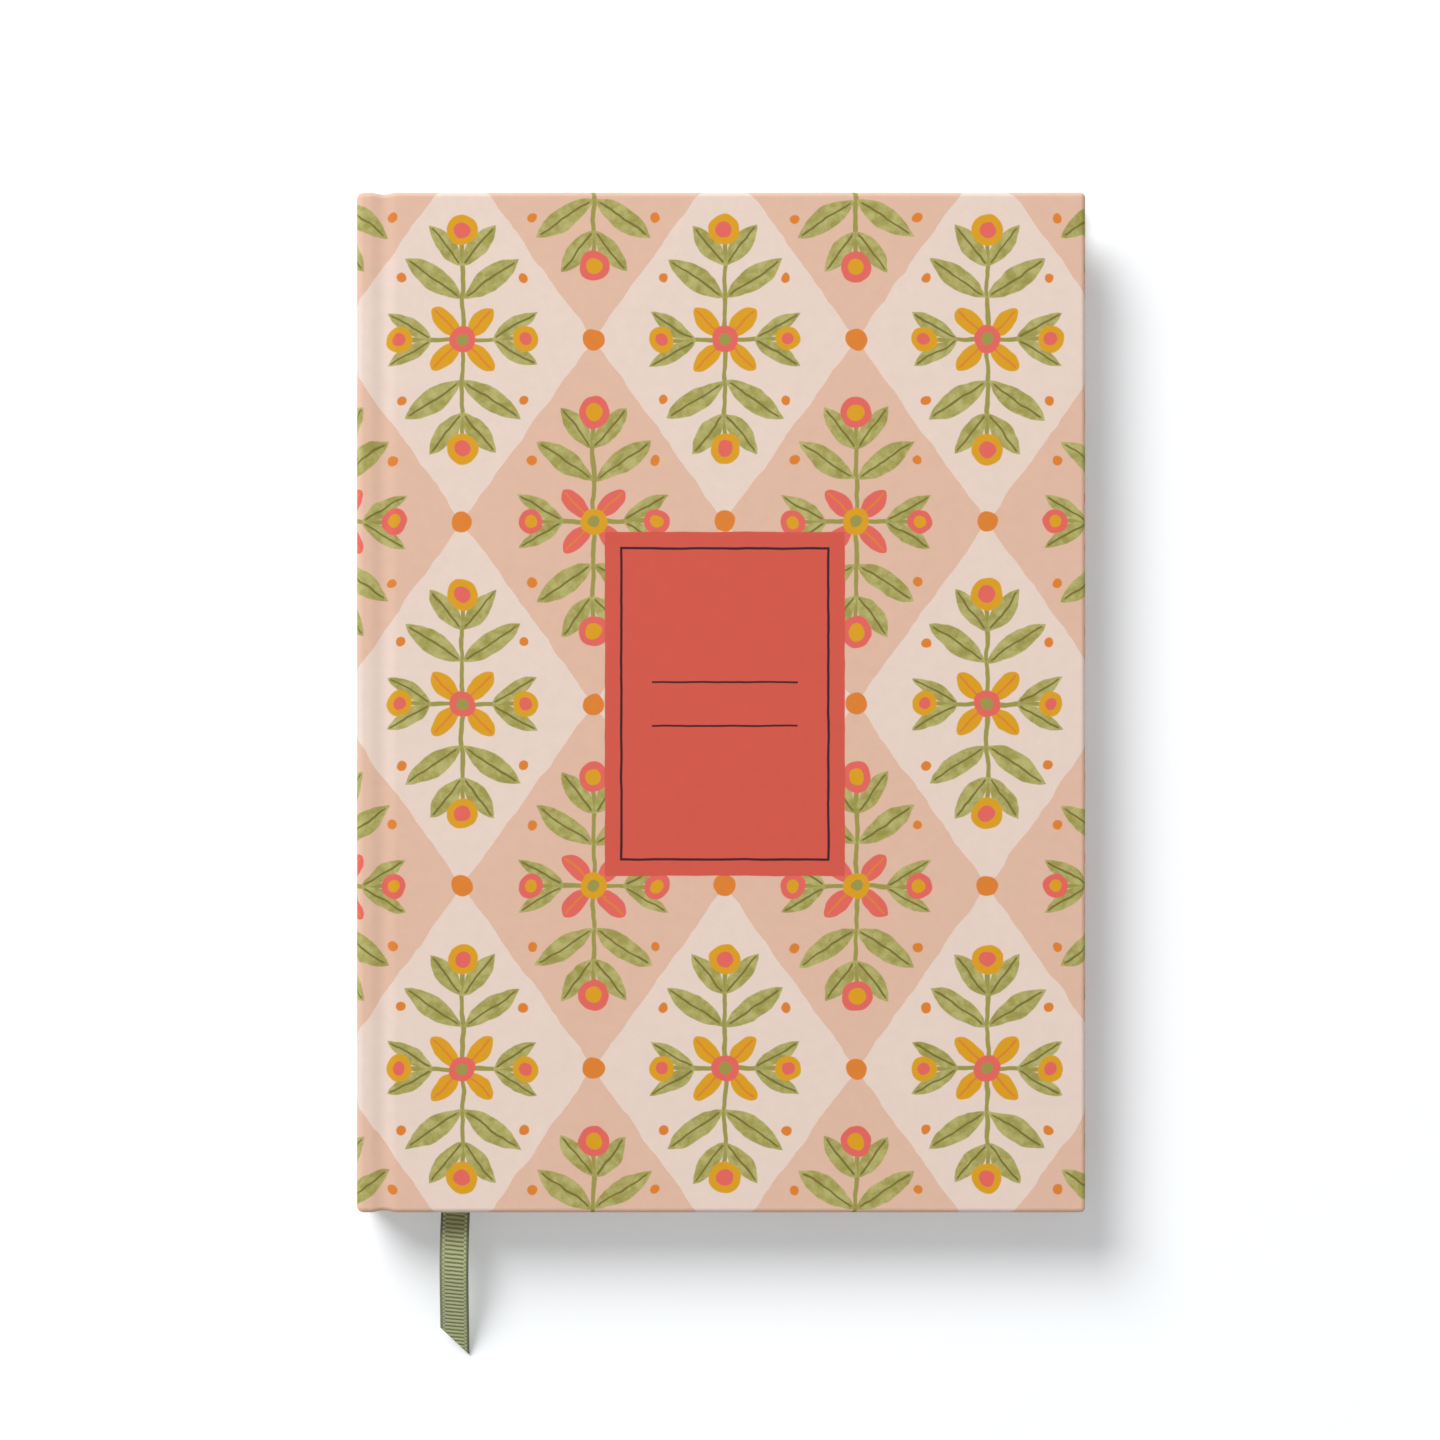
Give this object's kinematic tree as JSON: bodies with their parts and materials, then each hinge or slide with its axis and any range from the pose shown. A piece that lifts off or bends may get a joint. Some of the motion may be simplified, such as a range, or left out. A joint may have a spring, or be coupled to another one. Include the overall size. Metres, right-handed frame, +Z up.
{
  "type": "address book",
  "caption": "Hardback address book with a step-cut index down its fore edge, a hinged cover, a swinging spine, turning leaves and a ribbon marker at the tail.",
  "frame": {"origin": "under the middle of the closed book, on the table that it lies on", "axes": "+X from the spine to the fore edge, +Y from the tail to the head, +Z up from the back cover to the front cover"},
  "size_m": [0.15, 0.2419, 0.0174],
  "materials": {
    "printed_covering": "matt laminated print, blush and cream with a red label",
    "greyboard": "raw pasted greyboard",
    "endpaper": "uncoated coloured paper",
    "page_paper": "uncoated ivory writing paper",
    "kraft_liner": "brown kraft paper",
    "mull_gauze": "open starched gauze",
    "headband_cloth": "woven cotton over a cord",
    "sage_ribbon": "ribbed grosgrain, satin"
  },
  "bodies": {
    "back_cover": {"back_board": "greyboard", "back_cover_wrap": "printed_covering", "back_pastedown": "endpaper", "back_joint_strip": "printed_covering", "back_flyleaf": "endpaper", "section_qr": "page_paper", "section_st": "page_paper", "section_uv": "page_paper", "section_wx": "page_paper", "section_yz": "page_paper", "ribbon_marker": "sage_ribbon"},
    "spine": {"spine_board": "greyboard", "spine_wrap": "printed_covering", "spine_liner": "kraft_liner", "mull": "mull_gauze", "headband": "headband_cloth", "tailband": "headband_cloth"},
    "front_block": {"section_ab": "page_paper", "section_cd": "page_paper", "section_ef": "page_paper", "section_gh": "page_paper", "section_ij": "page_paper", "front_flyleaf": "endpaper", "front_joint_strip": "printed_covering"},
    "leaves_kl": {"section_kl": "page_paper"},
    "leaves_mn": {"section_mn": "page_paper"},
    "leaves_op": {"section_op": "page_paper"},
    "front_cover": {"front_board": "greyboard", "front_cover_wrap": "printed_covering", "front_pastedown": "endpaper"}
  },
  "joints": [
    {"name": "spine_swing", "type": "hinge", "parent": "back_cover", "child": "spine", "pos_m": [-0.075, 0, 0], "axis": [0, -1, 0], "range_deg": [0, 90]},
    {"name": "front_stack_turn", "type": "hinge", "parent": "spine", "child": "front_block", "pos_m": [-0.075, 0, 0.01744], "axis": [0, -1, 0], "range_deg": [0, 90]},
    {"name": "leaves_kl_turn", "type": "hinge", "parent": "spine", "child": "leaves_kl", "pos_m": [-0.07087, 0, 0.0095], "axis": [0, -1, 0], "range_deg": [0, 55.8]},
    {"name": "leaves_mn_turn", "type": "hinge", "parent": "spine", "child": "leaves_mn", "pos_m": [-0.07087, 0, 0.00872], "axis": [0, -1, 0], "range_deg": [0, 5.4]},
    {"name": "leaves_op_turn", "type": "hinge", "parent": "spine", "child": "leaves_op", "pos_m": [-0.07087, 0, 0.00794], "axis": [0, -1, 0], "range_deg": [-52.2, 0]},
    {"name": "front_cover_hinge", "type": "hinge", "parent": "front_block", "child": "front_cover", "pos_m": [-0.069, 0, 0.01769], "axis": [0, 1, 0], "range_deg": [-178, 0]}
  ],
  "couplings": [
    {"joint": "front_stack_turn", "follows": "spine_swing", "ratio": 1},
    {"joint": "leaves_kl_turn", "follows": "spine_swing", "ratio": 0.62},
    {"joint": "leaves_mn_turn", "follows": "spine_swing", "ratio": 0.06},
    {"joint": "leaves_op_turn", "follows": "spine_swing", "ratio": -0.58}
  ]
}
